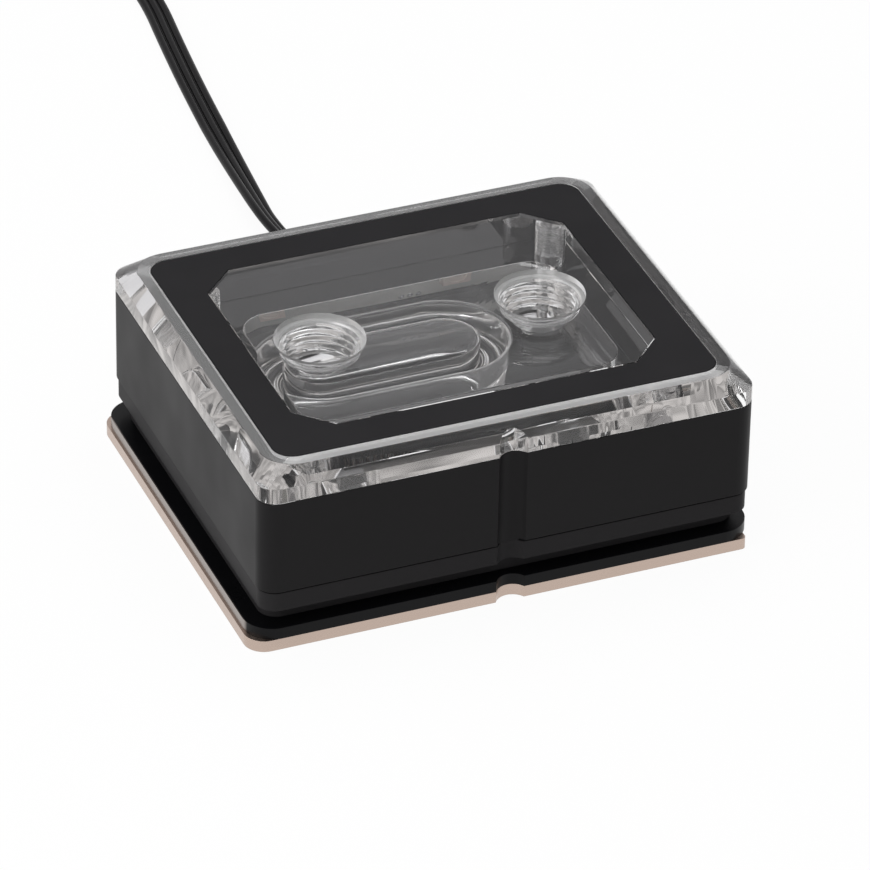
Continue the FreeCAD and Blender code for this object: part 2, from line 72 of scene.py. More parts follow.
# The inlet's slot and the stadium wall around it, about one middle line
STADIUM_X0, STADIUM_X1 = -PORT_X, 2.4 * MM
WALL_RADIUS = 10.3 * MM
SLOT_RADIUS = 5.9 * MM

# The cutters reach this far past the faces that they open
PAST = 0.5 * MM
# An island goes this far through a ceiling, so that no face of the two coincides
THROUGH = 0.003 * MM

# Refractive index of acrylic, and the most mirrorings that are traced inside the block, past which a
# painted glow stands in for the light
ACRYLIC_INDEX = 1.49
TRACED_MIRRORINGS = 3.5


# Small tools


def srgb(code):
    """Linear colour of a hex sRGB code. A colour setting is linear already."""
    if not isinstance(code, str):
        return list(code)
    parts = [int(code[i : i + 2], 16) / 255 for i in (0, 2, 4)]
    return [c / 12.92 if c <= 0.04045 else ((c + 0.055) / 1.055) ** 2.4 for c in parts] + [1.0]


def add_node(tree, kind, values=(), links=(), **settings):
    """New shader node with its settings, its socket values and its incoming links."""
    node = tree.nodes.new(kind)
    for name, value in settings.items():
        setattr(node, name, value)
    for key, value in dict(values).items():
        node.inputs[key].default_value = value
    for key, source in dict(links).items():
        tree.links.new(source, node.inputs[key])
    return node


def blank_material(name):
    """Material with an empty node tree and an output node."""
    material = bpy.data.materials.new(name)
    material.use_nodes = True
    material.node_tree.nodes.clear()
    output = add_node(material.node_tree, "ShaderNodeOutputMaterial")
    return material, material.node_tree, output


def object_place(tree, scale=(1, 1, 1)):
    """Object coordinates, in metres times scale."""
    coordinates = add_node(tree, "ShaderNodeTexCoord")
    mapping = add_node(
        tree,
        "ShaderNodeMapping",
        {"Scale": scale},
        {"Vector": coordinates.outputs["Object"]},
    )
    return mapping.outputs["Vector"]


def mesh_object(name, points, faces, materials):
    """Mesh object at the origin with its materials, in the scene's own collection."""
    mesh = bpy.data.meshes.new(name)
    mesh.from_pydata([tuple(p) for p in points], [], [tuple(f) for f in faces])
    for material in materials:
        mesh.materials.append(material)
    mesh.validate()
    obj = bpy.data.objects.new(name, mesh)
    bpy.context.scene.collection.objects.link(obj)
    return obj


def smooth(obj, degrees=30):
    """Smooth shading with sharp edges above an angle."""
    obj.data.shade_smooth()
    obj.data.set_sharp_from_angle(angle=math.radians(degrees))


def stacked_rings(name, rings, materials):
    """Closed surface through rings of points, each joined to the next, with flat ends.

    rings has shape (count, points, 3). Point i of a ring is joined to point i of the next
    one, and the first and the last ring are closed by one face each. Rings run anticlockwise
    seen from above and the first is the lowest along the wall, so that the outside faces out.
    """
    rings = np.asarray(rings, float)
    count, n, _ = rings.shape
    here = np.arange(n)
    after = (here + 1) % n
    faces = []
    for k in range(count - 1):
        low, high = k * n, (k + 1) * n
        faces += np.column_stack([low + here, low + after, high + after, high + here]).tolist()
    faces.append(here[::-1].tolist())
    faces.append((here + (count - 1) * n).tolist())
    return mesh_object(name, rings.reshape(-1, 3), faces, materials)


def rounded_outline(length, width, radius, steps=10):
    """Rounded rectangle about the origin: each corner is an arc of a circle."""
    x, y = length / 2 - radius, width / 2 - radius
    points = []
    for cx, cy, start in ((x, y, 0), (-x, y, 90), (-x, -y, 180), (x, -y, 270)):
        turn = np.radians(start + np.linspace(0, 90, steps + 1))
        points.append(np.column_stack([cx + radius * np.cos(turn), cy + radius * np.sin(turn)]))
    return np.vstack(points)


def window_outline(grow):
    """Rectangle with its four corners cut off at 45 degrees, grown outwards by a length."""
    x, y = WINDOW_LENGTH / 2 + grow, WINDOW_WIDTH / 2 + grow
    cut = WINDOW_CUT + grow * (2 - math.sqrt(2))
    half = np.array([(x, -y + cut), (x, y - cut), (x - cut, y), (-x + cut, y)])
    return np.vstack([half, -half])


def chamber_outline(grow):
    """Outline of the outlet chamber, grown outwards by a length."""
    length, width = CHAMBER_LENGTH + 2 * grow, CHAMBER_WIDTH + 2 * grow
    return rounded_outline(length, width, CHAMBER_CORNER + grow, 14)


def stadium_outline(radius, steps=40):
    """Two half circles about the ends of the inlet's middle line, joined by straight sides."""
    turn = np.radians(np.linspace(-90, 90, steps + 1))
    right = np.column_stack([STADIUM_X1 + radius * np.cos(turn), radius * np.sin(turn)])
    left = np.column_stack([STADIUM_X0 - radius * np.cos(turn), -radius * np.sin(turn)])
    return np.vstack([right, left])


def reach_at(outline, angles):
    """How far each ray from the origin goes before it leaves a convex outline.

    Every side of the outline lies on a line n.x = h, and the ray d leaves at the smallest
    h / (n.d) of the lines it runs towards.
    """
    side = np.roll(outline, -1, axis=0) - outline
    keep = np.hypot(side[:, 0], side[:, 1]) > 1e-9
    start, side = outline[keep], side[keep]
    normal = np.column_stack([side[:, 1], -side[:, 0]])
    offset = (normal * start).sum(1)
    ray = np.column_stack([np.cos(angles), np.sin(angles)])
    along = ray @ normal.T
    return np.where(along > 1e-12, offset / np.where(along > 1e-12, along, 1), 1e9).min(1)


def prism(name, outline, z0, z1, material):
    """Upright closed wall over an outline, between two heights."""
    rings = [np.column_stack([outline, np.full(len(outline), z)]) for z in (z0, z1)]
    return stacked_rings(name, rings, [material])


def milled_pocket(name, outline_at, z0, z1, radius, material, side=-1, over=0.0, steps=9):
    """Prism whose wall runs into its ceiling at z1 along a quarter circle, as a ball end mill
    leaves it.

    outline_at(grow) gives the outline grown outwards by a length. At the angle t of the
    quarter circle the wall stands radius * (1 - cos t) off, at the height
    z1 - radius * (1 - sin t). A pocket's outline shrinks, side -1, and that of an island
    left standing in a pocket grows, side 1, and goes on through the ceiling by over.
    """
    turns = np.radians(np.linspace(0, 90, steps))
    heights = [z0, *(z1 - radius * (1 - np.sin(turns)))]
    grows = [0.0, *(side * radius * (1 - np.cos(turns)))]
    if over:
        heights.append(z1 + over)
        grows.append(grows[-1])
    rings = []
    for z, grow in zip(heights, grows):
        outline = outline_at(grow)
        rings.append(np.column_stack([outline, np.full(len(outline), z)]))
    return stacked_rings(name, rings, [material])


def turned(name, x, y, rows, material, sides=96, pitch=1.0):
    """Closed surface around an upright axis, with a helical thread where a row has a depth.

    Each row is (height, radius, depth). The radius at height z and angle t is
    radius - depth * (1 + cos(2 pi (z / pitch - t / 2 pi))) / 2, a rounded thread whose turns
    rise by one pitch for each time around.
    """
    rows = np.asarray(rows, float)
    turn = np.linspace(0, 2 * np.pi, sides, endpoint=False)
    phase = 2 * np.pi * rows[:, :1] / pitch - turn[None, :]
    radius = rows[:, 1:2] - rows[:, 2:3] * (1 + np.cos(phase)) / 2
    z = np.repeat(rows[:, :1], sides, axis=1)
    rings = np.stack([x + radius * np.cos(turn), y + radius * np.sin(turn), z], axis=2)
    return stacked_rings(name, rings, [material])


def apply_cut(target, cutters):
    """Takes the cutters out of the target for good and removes them."""
    group = bpy.data.collections.new(target.name + " cutters")
    bpy.context.scene.collection.children.link(group)
    for cutter in cutters:
        group.objects.link(cutter)
    cut = target.modifiers.new("cut", "BOOLEAN")
    cut.operation = "DIFFERENCE"
    cut.solver = "EXACT"
    cut.operand_type = "COLLECTION"
    cut.collection = group
    cut.material_mode = "TRANSFER"
    ready = target.evaluated_get(bpy.context.evaluated_depsgraph_get())
    mesh = bpy.data.meshes.new_from_object(ready)
    target.modifiers.remove(cut)
    target.data = mesh
    for cutter in cutters:
        bpy.data.objects.remove(cutter)
    bpy.data.collections.remove(group)
    return target


# Materials


def satin_material(
    name, colour, roughness, specular, grain_mm, grain_depth_mm, edge_mm=0.12, bare_end=0.0
):
    """Moulded or coated surface: fine grain in the roughness and the relief, softened edges.

    Where bare_end is given, the coating lacks to the left of that X and ground metal shows.
    """
    material, tree, output = blank_material(name)
    place = object_place(tree)
    grain = add_node(
        tree,
        "ShaderNodeTexNoise",
        {"Scale": 1 / (grain_mm * MM), "Detail": 3.0, "Roughness": 0.6},
        {"Vector": place},
    )
    patches = add_node(
        tree, "ShaderNodeTexNoise", {"Scale": 1 / (14 * MM), "Detail": 2.0}, {"Vector": place}
    )
    spread = add_node(
        tree,
        "ShaderNodeMapRange",
        {"From Min": 0.3, "From Max": 0.7, "To Min": roughness * 0.9, "To Max": roughness * 1.12},
        {"Value": patches.outputs["Fac"]},
    )
    edge = add_node(tree, "ShaderNodeBevel", {"Radius": edge_mm * MM}, samples=4)
    relief = add_node(
        tree,
        "ShaderNodeBump",
        {"Strength": 0.6, "Distance": grain_depth_mm * MM},
        {"Height": grain.outputs["Fac"], "Normal": edge.outputs["Normal"]},
    )
    shader = add_node(
        tree,
        "ShaderNodeBsdfPrincipled",
        {"Base Color": srgb(colour), "Specular IOR Level": specular},
        {"Roughness": spread.outputs["Result"], "Normal": relief.outputs["Normal"]},
    )
    surface = shader.outputs["BSDF"]
    if bare_end:
        along = add_node(
            tree,
            "ShaderNodeSeparateXYZ",
            (),
            {0: add_node(tree, "ShaderNodeTexCoord").outputs["Object"]},
        )
        bare = add_node(
            tree,
            "ShaderNodeMapRange",
            {"From Min": bare_end + 0.1 * MM, "From Max": bare_end - 0.1 * MM},
            {"Value": along.outputs["X"]},
        )
        metal = add_node(
            tree,
            "ShaderNodeBsdfPrincipled",
            {"Base Color": srgb("98908b"), "Metallic": 1.0, "Roughness": 0.3},
        )
        mix = add_node(
            tree,
            "ShaderNodeMixShader",
            (),
            {0: bare.outputs["Result"], 1: surface, 2: metal.outputs["BSDF"]},
        )
        surface = mix.outputs[0]
    tree.links.new(surface, output.inputs["Surface"])
    return material


def metal_material(
    name, colour, roughness, stretch=(1, 1, 1), line_mm=0.15, depth_mm=0.004, painted_shade_above=0.0
):
    """Metal with fine lines of machining that run along the unstretched directions, darkened above a
    given height as painted shade.
    """
    material, tree, output = blank_material(name)
    place = object_place(tree, stretch)
    lines = add_node(
        tree,
        "ShaderNodeTexNoise",
        {"Scale": 1 / (line_mm * MM), "Detail": 2.0},
        {"Vector": place},
    )
    spread = add_node(
        tree,
        "ShaderNodeMapRange",
        {"From Min": 0.3, "From Max": 0.7, "To Min": roughness * 0.8, "To Max": roughness * 1.25},
        {"Value": lines.outputs["Fac"]},
    )
    edge = add_node(tree, "ShaderNodeBevel", {"Radius": 0.08 * MM}, samples=4)
    relief = add_node(
        tree,
        "ShaderNodeBump",
        {"Strength": 0.5, "Distance": depth_mm * MM},
        {"Height": lines.outputs["Fac"], "Normal": edge.outputs["Normal"]},
    )
    shader = add_node(
        tree,
        "ShaderNodeBsdfPrincipled",
        {"Base Color": srgb(colour), "Metallic": 1.0},
        {"Roughness": spread.outputs["Result"], "Normal": relief.outputs["Normal"]},
    )
    # above the given height the base colour is darkened to 4%: painted shade for the fins under the
    # jet plate
    if painted_shade_above:
        height = add_node(
            tree,
            "ShaderNodeSeparateXYZ",
            (),
            {0: add_node(tree, "ShaderNodeTexCoord").outputs["Object"]},
        )
        level = add_node(
            tree,
            "ShaderNodeMapRange",
            {"From Min": painted_shade_above, "From Max": painted_shade_above + MM, "To Min": 1.0, "To Max": 0.04},
            {"Value": height.outputs["Z"]},
        )
        shade = add_node(
            tree,
            "ShaderNodeVectorMath",
            {0: srgb(colour)[:3]},
            {"Scale": level.outputs["Result"]},
            operation="SCALE",
        )
        tree.links.new(shade.outputs["Vector"], shader.inputs["Base Color"])
    tree.links.new(shader.outputs["BSDF"], output.inputs["Surface"])
    return material


def painted_trapped_light(tree, shader):
    """Adds painted light: an emission glow that stands in for the light that reaches the eye after
    more turns inside the block than are traced.
    """
    path = add_node(tree, "ShaderNodeLightPath")
    deep = add_node(
        tree,
        "ShaderNodeMath",
        {1: TRACED_MIRRORINGS},
        {0: path.outputs["Glossy Depth"]},
        operation="GREATER_THAN",
    )
    # painted light in long soft streaks, as an uneven studio gives
    streaks = add_node(
        tree,
        "ShaderNodeTexNoise",
        {"Scale": 1.0, "Detail": 2.0, "Roughness": 0.55},
        {"Vector": object_place(tree, (60, 160, 420))},
    )
    level = add_node(
        tree,
        "ShaderNodeMapRange",
        {"From Min": 0.35, "From Max": 0.65, "To Min": 0.2, "To Max": 0.62},
        {"Value": streaks.outputs["Fac"]},
    )
    glow = add_node(
        tree,
        "ShaderNodeEmission",
        {"Color": srgb("f6f1ee")},
        {"Strength": level.outputs["Result"]},
    )
    mix = add_node(
        tree,
        "ShaderNodeMixShader",
        (),
        {0: deep.outputs[0], 1: shader.outputs[0], 2: glow.outputs[0]},
    )
    return mix.outputs[0]


def clear_material(
    name, roughness, relief_mm=0.0, relief_depth_mm=0.0, haze=0.0, index=ACRYLIC_INDEX
):
    """Clear acrylic, with the waviness or the tool marks that its face has.

    haze is the share of the light that the face scatters instead of letting it through.
    """
    material, tree, output = blank_material(name)
    shader = add_node(
        tree,
        "ShaderNodeBsdfPrincipled",
        {
            "Base Color": srgb("ffffff"),
            "Roughness": roughness,
            "IOR": index,
            "Transmission Weight": 1.0 - haze,
        },
    )
    if relief_mm:
        wave = add_node(
            tree,
            "ShaderNodeTexNoise",
            {"Scale": 1 / (relief_mm * MM), "Detail": 2.0},
            {"Vector": object_place(tree)},
        )
        relief = add_node(
            tree,
            "ShaderNodeBump",
            {"Strength": 0.5, "Distance": relief_depth_mm * MM},
            {"Height": wave.outputs["Fac"]},
        )
        tree.links.new(relief.outputs["Normal"], shader.inputs["Normal"])
    # past the traced mirrorings the face glows with painted light
    tree.links.new(painted_trapped_light(tree, shader), output.inputs["Surface"])
    return material


def ceiling_material():
    """Milled acrylic: circular tool marks around the outlet port, which fade with distance."""
    mark_pitch, mark_depth = 0.9 * MM, 0.01 * MM
    clear_to, faint_from = 10 * MM, 16 * MM
    material, tree, output = blank_material("milled acrylic ceiling")
    place = add_node(tree, "ShaderNodeTexCoord").outputs["Object"]
    away = add_node(
        tree,
        "ShaderNodeVectorMath",
        {1: (PORT_X, 0, CEILING_Z)},
        {0: place},
        operation="DISTANCE",
    )
    rings = add_node(
        tree,
        "ShaderNodeMath",
        {1: 2 * math.pi / mark_pitch},
        {0: away.outputs["Value"]},
        operation="MULTIPLY",
    )
    wave = add_node(tree, "ShaderNodeMath", (), {0: rings.outputs[0]}, operation="SINE")
    fade = add_node(
        tree,
        "ShaderNodeMapRange",
        {"From Min": clear_to, "From Max": faint_from, "To Min": 1.0, "To Max": 0.12},
        {"Value": away.outputs["Value"]},
    )
    marks = add_node(
        tree,
        "ShaderNodeMath",
        (),
        {0: wave.outputs[0], 1: fade.outputs["Result"]},
        operation="MULTIPLY",
    )
    relief = add_node(
        tree,
        "ShaderNodeBump",
        {"Strength": 0.4, "Distance": mark_depth},
        {"Height": marks.outputs[0]},
    )
    shader = add_node(
        tree,
        "ShaderNodeBsdfPrincipled",
        {
            "Base Color": srgb("ffffff"),
            "Roughness": 0.03,
            "IOR": ACRYLIC_INDEX,
            "Transmission Weight": 1.0,
        },
        {"Normal": relief.outputs["Normal"]},
    )
    # past the traced mirrorings the face glows with painted light
    tree.links.new(painted_trapped_light(tree, shader), output.inputs["Surface"])
    return material


def node_finishes(s):
    """Finish of each CAD node that stays shown, named for the real material."""
    # height above which painted shade darkens the plated base, where the fins stand under the jet
    # plate, and X up to which the flange plate is bare
    painted_shade_z, ground_x = 6.5 * MM, -43.4 * MM
    # ground copper under a thin nickel plating, a little pink at the edges, with painted shade on the
    # fins
    plating = metal_material(
        "nickel-plated copper", s.plating, 0.3, (0.1, 0.1, 1), 0.12, 0.0005, painted_shade_z
    )
    # black electrophoretic coating on a thin steel plate, glossy
    coat = satin_material("black coated plate", "08080a", 0.3, 0.14, 1.2, 0.002)
    # the same on the flange plate, whose left end is ground bare
    flange_coat = satin_material(
        "black coated plate with a ground end", "08080a", 0.3, 0.14, 1.2, 0.002, 0.12, ground_x
    )
    # satin black moulding of the lower frame
    frame_black = satin_material("satin black moulding", s.lower_frame, 0.38, 0.03, 0.25, 0.008)
    # satin black moulding of the housing, a little finer
    shell_black = satin_material("fine satin black moulding", s.housing, 0.42, 0.1, 0.2, 0.008)
    # matt black anodised aluminium
    anodised = satin_material("matt black anodised aluminium", s.trim, 0.5, 0.1, 0.12, 0.006)
    # thin black adhesive sheet
    adhesive = satin_material("black adhesive sheet", "141414", 0.6, 0.3, 0.5, 0.01)
    # black sealing rubber
    rubber = satin_material("black sealing rubber", "0f0f10", 0.5, 0.25, 0.8, 0.003)
    # stainless steel of the screws
    steel = metal_material("stainless steel", "b9b9bb", 0.28, (1, 1, 1), 0.2)
    # turned brass of the inserts
    brass = metal_material("turned brass", "c9a662", 0.3, (0.2, 0.2, 1), 0.2)
    # white solder mask of the strip board
    board = satin_material("white solder mask", "d9d9d4", 0.4, 0.5, 0.4, 0.003)
    # cream resin of the light chips
    resin = satin_material("cream chip resin", "fdeee4", 0.35, 0.5, 0.6, 0.004)
    # fired ceramic of the capacitors
    ceramic = satin_material("fired ceramic", "8c6b4c", 0.45, 0.4, 0.3, 0.006)
    # solder
    solder = metal_material("tin solder", "b3b3b8", 0.32, (1, 1, 1), 0.4)
    # black nylon of the tie and the plug
    nylon = satin_material("black nylon", "141415", 0.35, 0.4, 0.3, 0.006)
    # black shrink sleeve
    sleeve = satin_material("black shrink sleeve", "121213", 0.45, 0.35, 0.6, 0.03)
    return {
        "cold_plate": plating,
        "flange_plate": flange_coat,
        "lower_frame": frame_black,
        "housing": shell_black,
        "trim_frame": anodised,
        "trim_tape": adhesive,
        "jet_plate": coat,
        "outer_seal": rubber,
        "base_seal": rubber,
        "inlet_seal": rubber,
        "block_screws": steel,
        "housing_screws": steel,
        "threaded_inserts": brass,
        "led_board": board,
        "led_chips": resin,
        "led_capacitors": ceramic,
        "solder_joints": solder,
        "led_tape": adhesive,
        "cable_grommet": rubber,
        "coil_tie": nylon,
        "heat_shrink": sleeve,
        "connector_body": nylon,
        "connector_contacts": solder,
    }


# Settings


def length_setting(name, description, size, least=0.0):
    """Length setting, with its default and its least value in millimetres."""
    return bpy.props.FloatProperty(
        name=name,
        description=description,
        default=size * MM,
        min=least * MM,
        unit="LENGTH",
        precision=6,
    )


def colour_setting(name, description, code):
    """Colour setting whose default is a hex sRGB code."""
    return bpy.props.FloatVectorProperty(
        name=name,
        description=description,
        default=srgb(code),
        min=0.0,
        max=1.0,
        size=4,
        subtype="COLOR",
    )


class ColdPlateBlockSettings(bpy.types.PropertyGroup):
    """Sizes of the clear block that can be set by themselves."""

    air_gap: length_setting(
        "Air gap", "Film of air between the clear block and the parts that it touches", 0.03
    )
    thread_depth: length_setting(
        "Thread depth", "Depth of the port thread, from its crest to its root", 0.856
    )
    thread_pitch: length_setting(
        "Thread pitch", "Rise of one turn of the port thread", 1.337, 0.1
    )
    mill_radius: length_setting(
        "Mill radius", "Radius that the mill leaves where the stadium wall meets the ceiling", 0.8, 0.1
    )
    screw_pitch: length_setting(
        "Screw thread pitch", "Rise of one turn in the four tapped holes", 0.8, 0.1
    )


class ColdPlateLeadSettings(bpy.types.PropertyGroup):
    """Sizes of the flat three-wire lead."""

    wire_diameter: length_setting(
        "Wire diameter", "Outer diameter of one wire's sheath", 1.5, 0.1
    )
    wire_pitch: length_setting(
        "Wire pitch", "Distance between the middles of two neighbouring wires", 1.55, 0.1
    )
    twist: bpy.props.FloatProperty(
        name="Twist",
        description="How far the lead leans over where it comes out from behind the block",
        default=math.radians(-35),
        subtype="ANGLE",
    )


class ColdPlateFinishSettings(bpy.types.PropertyGroup):
    """Colours of the finishes."""

    plating: colour_setting("Plating", "Colour of the plated base", "c0ada1")
    lower_frame: colour_setting("Lower frame", "Colour of the frame below the housing", "292829")
    housing: colour_setting("Housing", "Colour of the housing around the clear block", "191819")
    trim: colour_setting(
        "Trim frame", "Colour of the frame that is let into the clear block", "1a191b"
    )


class ColdPlateStageSettings(bpy.types.PropertyGroup):
    """Levels of the lamps and the world."""

    world_level: bpy.props.FloatProperty(
        name="World level",
        description="Strength of the light that comes from all round",
        default=0.6,
        min=0.0,
        subtype="FACTOR",
    )
    left_power: bpy.props.FloatProperty(
        name="Left lamp",
        description="Power of the soft lamp on the left",
        default=2.4,
        min=0.0,
        unit="POWER",
    )
    top_power: bpy.props.FloatProperty(
        name="Top lamp",
        description="Power of the soft lamp above",
        default=1.6,
        min=0.0,
        unit="POWER",
    )
    focal_length: bpy.props.FloatProperty(
        name="Focal length",
        description="Focal length of the lens on a 36 mm sensor, in millimetres",
        default=271.3,
        min=1.0,
        unit="CAMERA",
    )


# Pieces


class ColdPlateAddBlock(bpy.types.Operator):
    """Add the clear block with its ports, threads, chamber, inlet slot and tapped holes"""

    bl_idname = "cold_plate.add_block"
    bl_label = "Add clear block"

    def execute(self, context):
        s = context.scene.cold_plate_block
        polished = clear_material("polished acrylic", 0.0, 9.0, 0.004)
        bored = clear_material("bored acrylic", 0.16, 0.3, 0.004, 0.18)
        walls = clear_material("milled acrylic", 0.0)
        island_wall = clear_material("side-milled acrylic", 0.04, haze=0.24)
        threaded = clear_material("threaded acrylic", 0.08, haze=0.17)
        seat = clear_material("frosted acrylic", 0.45, 0.15, 0.01, 0.3)
        # the rim's underside where it rests on the housing: steep rays pass into the black
        rested = clear_material("acrylic resting on black", 0.0, index=1.17)
        edge = clear_material("machined acrylic edge", 0.3, 0.2, 0.004, 0.32)
        side_edge = clear_material("smooth acrylic edge", 0.2, 0.2, 0.004, 0.13)
        ring = clear_material("turned acrylic seat", 0.22, 0.2, 0.004, 0.36)
        ceiling = ceiling_material()
        gap = s.air_gap

        body = self.outer_body(gap, (polished, seat, edge, rested, side_edge))
        chamber_mill, slot_mill = 0.25 * MM, 0.8 * MM
        chamber = milled_pocket(
            "chamber", chamber_outline, CORE_Z - PAST, CEILING_Z, chamber_mill, walls
        )
        island = milled_pocket(
            "island",
            lambda grow: stadium_outline(WALL_RADIUS + grow),
            CORE_Z - 3 * PAST,
            CEILING_Z + THROUGH,
            s.mill_radius,
            island_wall,
            side=1,
            over=MM,
        )
        slot = milled_pocket(
            "slot",
            lambda grow: stadium_outline(SLOT_RADIUS + grow),
            CORE_Z - PAST,
            CEILING_Z,
            slot_mill,
            walls,
        )
        for pocket in (chamber, slot):
            pocket.data.materials.append(ceiling)
            pocket.data.polygons[len(pocket.data.polygons) - 1].material_index = 1
        apply_cut(chamber, [island])

        cutters = [chamber, slot]
        for x in (-PORT_X, PORT_X):
            cutters.append(self.port(x, s, threaded, ring))
        tapped_x, tapped_y = 30.3 * MM, 22.3 * MM
        for x in (-tapped_x, tapped_x):
            for y in (-tapped_y, tapped_y):
                cutters.append(self.tapped_hole(x, y, s, bored))
        rows = [(RIM_Z - 2 * MM, NOTCH_RADIUS, 0), (TOP_Z + MM, NOTCH_RADIUS, 0)]
        notch_y = NOTCH_DEPTH - NOTCH_RADIUS - BACK_Y
        cutters.append(turned("notch", 0, notch_y, rows, walls, 64))
        apply_cut(body, cutters)
        self.cut_seals(body, gap, walls)
        smooth(body)
        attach(body, "root")
        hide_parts("acrylic_block")
        return {"FINISHED"}

    def outer_body(self, gap, materials):
        """Core, overhanging rim with a sloping top edge, and the seat of the trim frame.

        All its rings are convex, so each is given by how far it reaches along one shared set
        of rays from the middle. The materials are those of the polished faces, the seat's
        wall, the machined front of the strip round the top, the rim's underside where it
        rests on the housing's front wall, and the strip's smoother sides.
        """
        seated, machined, rested, sides = range(1, 5)
        core = rounded_outline(CORE_LENGTH - 2 * gap, CORE_WIDTH - 2 * gap, 3 * MM)
        rim = rounded_outline(BODY_LENGTH, BODY_WIDTH, 3.2 * MM)
        slope_in, slope_drop = 2.2 * MM, 2.5 * MM
        brim = rounded_outline(BODY_LENGTH - 2 * slope_in, BODY_WIDTH - 2 * slope_in, 5.6 * MM)
        # the trim frame's seat is wider than the frame by its fit
        fit = 0.06 * MM
        seat = rounded_outline(75.2 * MM + 2 * fit, 61.5 * MM + 2 * fit, 3.4 * MM + fit)
        window = window_outline(-fit)
        # the rim rests on the housing's front wall between these two places
        rest_x0, rest_x1, rest_y = -30 * MM, 16.5 * MM, -32 * MM
        ends = np.array([(rest_x0, rest_y), (rest_x1, rest_y)])
        angles = np.concatenate(
            [np.arctan2(o[:, 1], o[:, 0]) for o in (core, rim, brim, seat, window, ends)]
        )
        angles = np.unique(np.round(angles, 6))
        n = len(angles)
        knee, soft = TOP_Z - slope_drop, 0.12 * MM
        seat_z = TOP_Z - 1.35 * MM - gap
        low, under = CORE_Z + gap, RIM_Z + gap
        rings = []
        for outline, grow, z in (
            (core, -soft, low),
            (core, 0, low + soft),
            (core, 0, under),
            (rim, -soft, under),
            (rim, 0, under + soft),
            (rim, 0, knee - soft),
            (rim, -0.5 * soft, knee + 0.5 * soft),
            (brim, soft, TOP_Z - soft),
            (brim, -soft, TOP_Z),
            (seat, 0, TOP_Z),
            (seat, 0, seat_z),
            (window, 0, seat_z),
            (window, 0, TOP_Z),
        ):
            reach = reach_at(outline, angles) + grow
            ring = [reach * np.cos(angles), reach * np.sin(angles), np.full(n, z)]
            rings.append(np.column_stack(ring))
        body = stacked_rings("clear_block", rings, materials)

        # the strip round the top, between the slope and the trim frame
        front_y, right_x = -31 * MM, 37.8 * MM
        for polygon in body.data.polygons[8 * n : 9 * n]:
            if polygon.center.y < front_y:
                polygon.material_index = machined
            elif polygon.center.x <= right_x:
                polygon.material_index = sides
        for polygon in body.data.polygons[9 * n : 10 * n]:
            polygon.material_index = seated
        for polygon in body.data.polygons[2 * n : 3 * n]:
            if rest_x0 < polygon.center.x < rest_x1 and polygon.center.y < 0:
                polygon.material_index = rested
        return body

    def port(self, x, s, material, ring):
        """Sealing seat, chamfer, turns of thread, flat step and lower bore of a port."""
        bore, step, root, mouth, recess = np.array([4.65, 5.75, 6.58, 6.75, 7.45]) * MM
        seat_z = TOP_Z - 1 * MM
        floor_z = seat_z - 5 * MM
        rows = [(CEILING_Z - 0.2 * MM, bore, 0), (floor_z, bore, 0), (floor_z, step, 0)]
        for z in np.linspace(floor_z + 0.25 * MM, seat_z - 0.4 * MM, 58):
            rows.append((z, root, s.thread_depth))
        rows.append((seat_z - 0.3 * MM, root - 0.02 * MM, 0))
        rows.append((seat_z, mouth, 0))
        rows.append((seat_z, recess, 0))
        rows.append((TOP_Z + 0.6 * MM, recess, 0))
        sides = 96
        port = turned("port", x, 0, rows, material, sides, s.thread_pitch)
        port.data.materials.append(ring)
        for polygon in port.data.polygons[(len(rows) - 4) * sides : (len(rows) - 1) * sides]:
            polygon.material_index = 1
        return port

    def tapped_hole(self, x, y, s, material):
        """Hole from below with a fine thread, and a blunt end that a quarter ellipse rounds."""
        radius, depth = 2.5 * MM, 0.4 * MM
        rows = [(CORE_Z - PAST, radius, 0), (CORE_Z + 0.4 * MM, radius, 0)]
        for z in np.linspace(CORE_Z + 0.5 * MM, 28.0 * MM, 130):
            rows.append((z, radius, depth))
        end_z, end_radius, end_height = 28.15 * MM, 2.1 * MM, 0.8 * MM
        for turn in np.radians(np.linspace(0, 90, 7)):
            z = end_z + end_height * math.sin(turn)
            rows.append((z, end_radius * math.cos(turn) + 0.01 * MM, 0))
        return turned("tapped", x, y, rows, material, 36, s.screw_pitch)

    def cut_seals(self, body, gap, material):
        """Grooves of the two sealing rings in the underside, a film of air wider than them."""
        # the outer ring's square groove lies around the chamber
        margin, width, depth = 1.4 * MM, 1.6 * MM, 1.0 * MM
        rings = []
        for name, grow, z0, z1 in (
            ("groove", margin + width + gap, CORE_Z - PAST, CORE_Z + depth + gap),
            ("kept", margin - gap, CORE_Z - 3 * PAST, CORE_Z + depth + gap + MM),
        ):
            rings.append(prism(name, chamber_outline(grow), z0, z1, material))
        outer, kept = rings
        apply_cut(outer, [kept])

        # the inner ring's groove is half round, in the foot of the stadium wall
        outside, inside, mill, steps = 10.0 * MM, 6.2 * MM, 1.88 * MM, 17
        roof_z = CORE_Z + 2.1 * MM
        inner = milled_pocket(
            "groove",
            lambda grow: stadium_outline(outside + grow),
            CORE_Z - PAST,
            roof_z,
            mill,
            material,
            steps=steps,
        )
        kept = milled_pocket(
            "kept",
            lambda grow: stadium_outline(inside + grow),
            CORE_Z - 3 * PAST,
            roof_z + THROUGH,
            mill,
            material,
            side=1,
            over=MM,
            steps=steps,
        )
        apply_cut(inner, [kept])
        apply_cut(body, [outer, inner])


